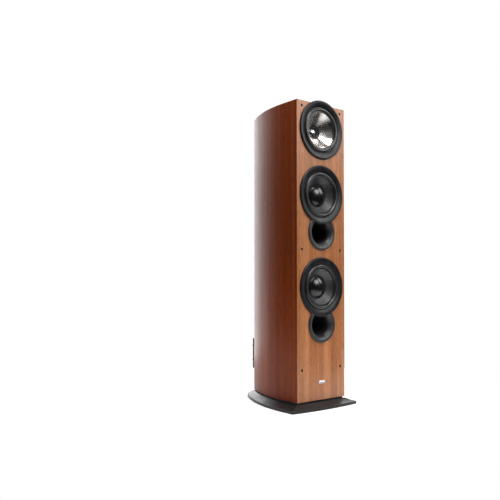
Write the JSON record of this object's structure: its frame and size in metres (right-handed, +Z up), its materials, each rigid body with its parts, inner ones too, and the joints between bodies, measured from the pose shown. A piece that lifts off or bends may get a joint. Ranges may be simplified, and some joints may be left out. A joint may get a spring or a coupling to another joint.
{
  "type": "floorstanding speaker",
  "caption": "Floorstanding speaker with a curved walnut cabinet, coaxial top driver, woofers with dust caps, reflex ports, bi-wire posts and a wide bevelled plinth.",
  "frame": {"origin": "on the floor, under the middle of the plinth", "axes": "+Z up, front faces -Y, +X to the right seen from the front"},
  "size_m": [0.295, 0.385, 1.02],
  "materials": {
    "walnut_wrap": "satin walnut vinyl wrap",
    "walnut_front": "satin walnut vinyl wrap, vertical grain",
    "raw_board": "bare fibreboard",
    "wadding": "loose polyester filling",
    "black_plastic": "fine satin moulded black",
    "plinth": "satin dark grey moulding",
    "badge": "satin plate, blank",
    "zinc_steel": "zinc plated",
    "foot_rubber": "matte",
    "cast_frame": "black powder coat",
    "surround_rubber": "satin",
    "bright_cone": "spun, bright satin",
    "grey_cone": "satin, fine turned texture",
    "cap_gloss": "glossy black",
    "coil_wire": "enamelled winding on a thin former",
    "tweeter_guide": "satin black",
    "tweeter_dome": "bright",
    "motor_steel": "zinc plated",
    "ferrite": "matte",
    "spider_cloth": "impregnated weave",
    "black_screw": "black oxide",
    "gold_metal": "gold plated",
    "nut_red": "translucent look",
    "nut_black": "satin",
    "board_green": "circuit board",
    "copper_coil": "enamelled copper",
    "small_parts": "film capacitors and cement resistors",
    "lead": "insulated lead"
  },
  "bodies": {
    "cabinet": {"cabinet_shell": "walnut_wrap", "front_baffle": "walnut_front", "top_panel": "walnut_wrap", "bottom_panel": "raw_board", "window_braces": "raw_board", "wadding": "wadding", "grille_sockets": "black_plastic", "badge": "badge", "plinth": "plinth", "plinth_bolts": "zinc_steel", "coax_trim_ring": "black_plastic", "coax_basket": "cast_frame", "midrange_surround": "surround_rubber", "tweeter_waveguide": "tweeter_guide", "tweeter_motor": "motor_steel", "upper_trim_ring": "black_plastic", "upper_basket": "cast_frame", "upper_surround": "surround_rubber", "lower_trim_ring": "black_plastic", "lower_basket": "cast_frame", "lower_surround": "surround_rubber", "spiders": "spider_cloth", "top_plates": "motor_steel", "magnets": "ferrite", "back_plates": "motor_steel", "driver_screws": "black_screw", "port_tubes": "black_plastic", "terminal_panel": "black_plastic", "terminal_screws": "black_screw", "binding_posts": "gold_metal", "link_plates": "gold_metal", "crossover_board": "board_green", "crossover_coils": "copper_coil", "crossover_small_parts": "small_parts", "wiring_harness": "lead"},
    "midrange_assembly": {"midrange_cone": "bright_cone", "midrange_coil": "coil_wire"},
    "tweeter_assembly": {"tweeter_dome": "tweeter_dome"},
    "upper_woofer_assembly": {"upper_cone": "grey_cone", "upper_dust_cap": "cap_gloss", "upper_coil": "coil_wire"},
    "lower_woofer_assembly": {"lower_cone": "grey_cone", "lower_dust_cap": "cap_gloss", "lower_coil": "coil_wire"},
    "foot_pad_1": {"foot_pad_1": "foot_rubber"},
    "foot_stud_1": {"foot_stud_1": "zinc_steel"},
    "post_washer_1": {"post_washer_1": "gold_metal"},
    "thumb_nut_1": {"thumb_nut_1": "nut_red"},
    "foot_pad_2": {"foot_pad_2": "foot_rubber"},
    "foot_stud_2": {"foot_stud_2": "zinc_steel"},
    "post_washer_2": {"post_washer_2": "gold_metal"},
    "thumb_nut_2": {"thumb_nut_2": "nut_black"},
    "foot_pad_3": {"foot_pad_3": "foot_rubber"},
    "foot_stud_3": {"foot_stud_3": "zinc_steel"},
    "post_washer_3": {"post_washer_3": "gold_metal"},
    "thumb_nut_3": {"thumb_nut_3": "nut_red"},
    "foot_pad_4": {"foot_pad_4": "foot_rubber"},
    "foot_stud_4": {"foot_stud_4": "zinc_steel"},
    "post_washer_4": {"post_washer_4": "gold_metal"},
    "thumb_nut_4": {"thumb_nut_4": "nut_black"}
  },
  "joints": [
    {"name": "midrange_travel", "type": "slide", "parent": "cabinet", "child": "midrange_assembly", "axis": [0, -1, 0], "range_m": [-0.003, 0.003], "stiffness_N_per_m": 1500, "deforming": ["midrange_surround", "spiders"]},
    {"name": "tweeter_travel", "type": "slide", "parent": "cabinet", "child": "tweeter_assembly", "axis": [0, -1, 0], "range_m": [-0.0005, 0.0005], "stiffness_N_per_m": 1200},
    {"name": "upper_woofer_travel", "type": "slide", "parent": "cabinet", "child": "upper_woofer_assembly", "axis": [0, -1, 0], "range_m": [-0.006, 0.006], "stiffness_N_per_m": 1100, "deforming": ["upper_surround", "spiders"]},
    {"name": "lower_woofer_travel", "type": "slide", "parent": "cabinet", "child": "lower_woofer_assembly", "axis": [0, -1, 0], "range_m": [-0.006, 0.006], "stiffness_N_per_m": 1100, "deforming": ["lower_surround", "spiders"]},
    {"name": "foot_1_height", "type": "slide", "parent": "cabinet", "child": "foot_pad_1", "axis": [0, 0, -1], "range_m": [0, 0.01]},
    {"name": "foot_1_turn", "type": "hinge", "parent": "foot_pad_1", "child": "foot_stud_1", "pos_m": [-0.078, -0.1285, 0.005], "axis": [0, 0, -1], "range_deg": [0, 2910]},
    {"name": "foot_2_height", "type": "slide", "parent": "cabinet", "child": "foot_pad_2", "axis": [0, 0, -1], "range_m": [0, 0.01]},
    {"name": "foot_2_turn", "type": "hinge", "parent": "foot_pad_2", "child": "foot_stud_2", "pos_m": [0.078, -0.1285, 0.005], "axis": [0, 0, -1], "range_deg": [0, 2910]},
    {"name": "foot_3_height", "type": "slide", "parent": "cabinet", "child": "foot_pad_3", "axis": [0, 0, -1], "range_m": [0, 0.01]},
    {"name": "foot_3_turn", "type": "hinge", "parent": "foot_pad_3", "child": "foot_stud_3", "pos_m": [-0.036, 0.0995, 0.005], "axis": [0, 0, -1], "range_deg": [0, 2910]},
    {"name": "foot_4_height", "type": "slide", "parent": "cabinet", "child": "foot_pad_4", "axis": [0, 0, -1], "range_m": [0, 0.01]},
    {"name": "foot_4_turn", "type": "hinge", "parent": "foot_pad_4", "child": "foot_stud_4", "pos_m": [0.036, 0.0995, 0.005], "axis": [0, 0, -1], "range_deg": [0, 2910]},
    {"name": "nut_1_travel", "type": "slide", "parent": "cabinet", "child": "post_washer_1", "axis": [0, 1, 0], "range_m": [0, 0.005]},
    {"name": "nut_1_turn", "type": "hinge", "parent": "post_washer_1", "child": "thumb_nut_1", "pos_m": [-0.0095, 0.1725, 0.181], "axis": [0, 1, 0], "range_deg": [0, 1830]},
    {"name": "nut_2_travel", "type": "slide", "parent": "cabinet", "child": "post_washer_2", "axis": [0, 1, 0], "range_m": [0, 0.005]},
    {"name": "nut_2_turn", "type": "hinge", "parent": "post_washer_2", "child": "thumb_nut_2", "pos_m": [0.0095, 0.1725, 0.181], "axis": [0, 1, 0], "range_deg": [0, 1830]},
    {"name": "nut_3_travel", "type": "slide", "parent": "cabinet", "child": "post_washer_3", "axis": [0, 1, 0], "range_m": [0, 0.005]},
    {"name": "nut_3_turn", "type": "hinge", "parent": "post_washer_3", "child": "thumb_nut_3", "pos_m": [-0.0095, 0.1725, 0.129], "axis": [0, 1, 0], "range_deg": [0, 1830]},
    {"name": "nut_4_travel", "type": "slide", "parent": "cabinet", "child": "post_washer_4", "axis": [0, 1, 0], "range_m": [0, 0.005]},
    {"name": "nut_4_turn", "type": "hinge", "parent": "post_washer_4", "child": "thumb_nut_4", "pos_m": [0.0095, 0.1725, 0.129], "axis": [0, 1, 0], "range_deg": [0, 1830]}
  ],
  "couplings": [
    {"joint": "foot_1_turn", "follows": "foot_1_height", "rad_per_m": 5026.5},
    {"joint": "foot_2_turn", "follows": "foot_2_height", "rad_per_m": 5026.5},
    {"joint": "foot_3_turn", "follows": "foot_3_height", "rad_per_m": 5026.5},
    {"joint": "foot_4_turn", "follows": "foot_4_height", "rad_per_m": 5026.5},
    {"joint": "nut_1_turn", "follows": "nut_1_travel", "rad_per_m": 6283.2},
    {"joint": "nut_2_turn", "follows": "nut_2_travel", "rad_per_m": 6283.2},
    {"joint": "nut_3_turn", "follows": "nut_3_travel", "rad_per_m": 6283.2},
    {"joint": "nut_4_turn", "follows": "nut_4_travel", "rad_per_m": 6283.2}
  ]
}
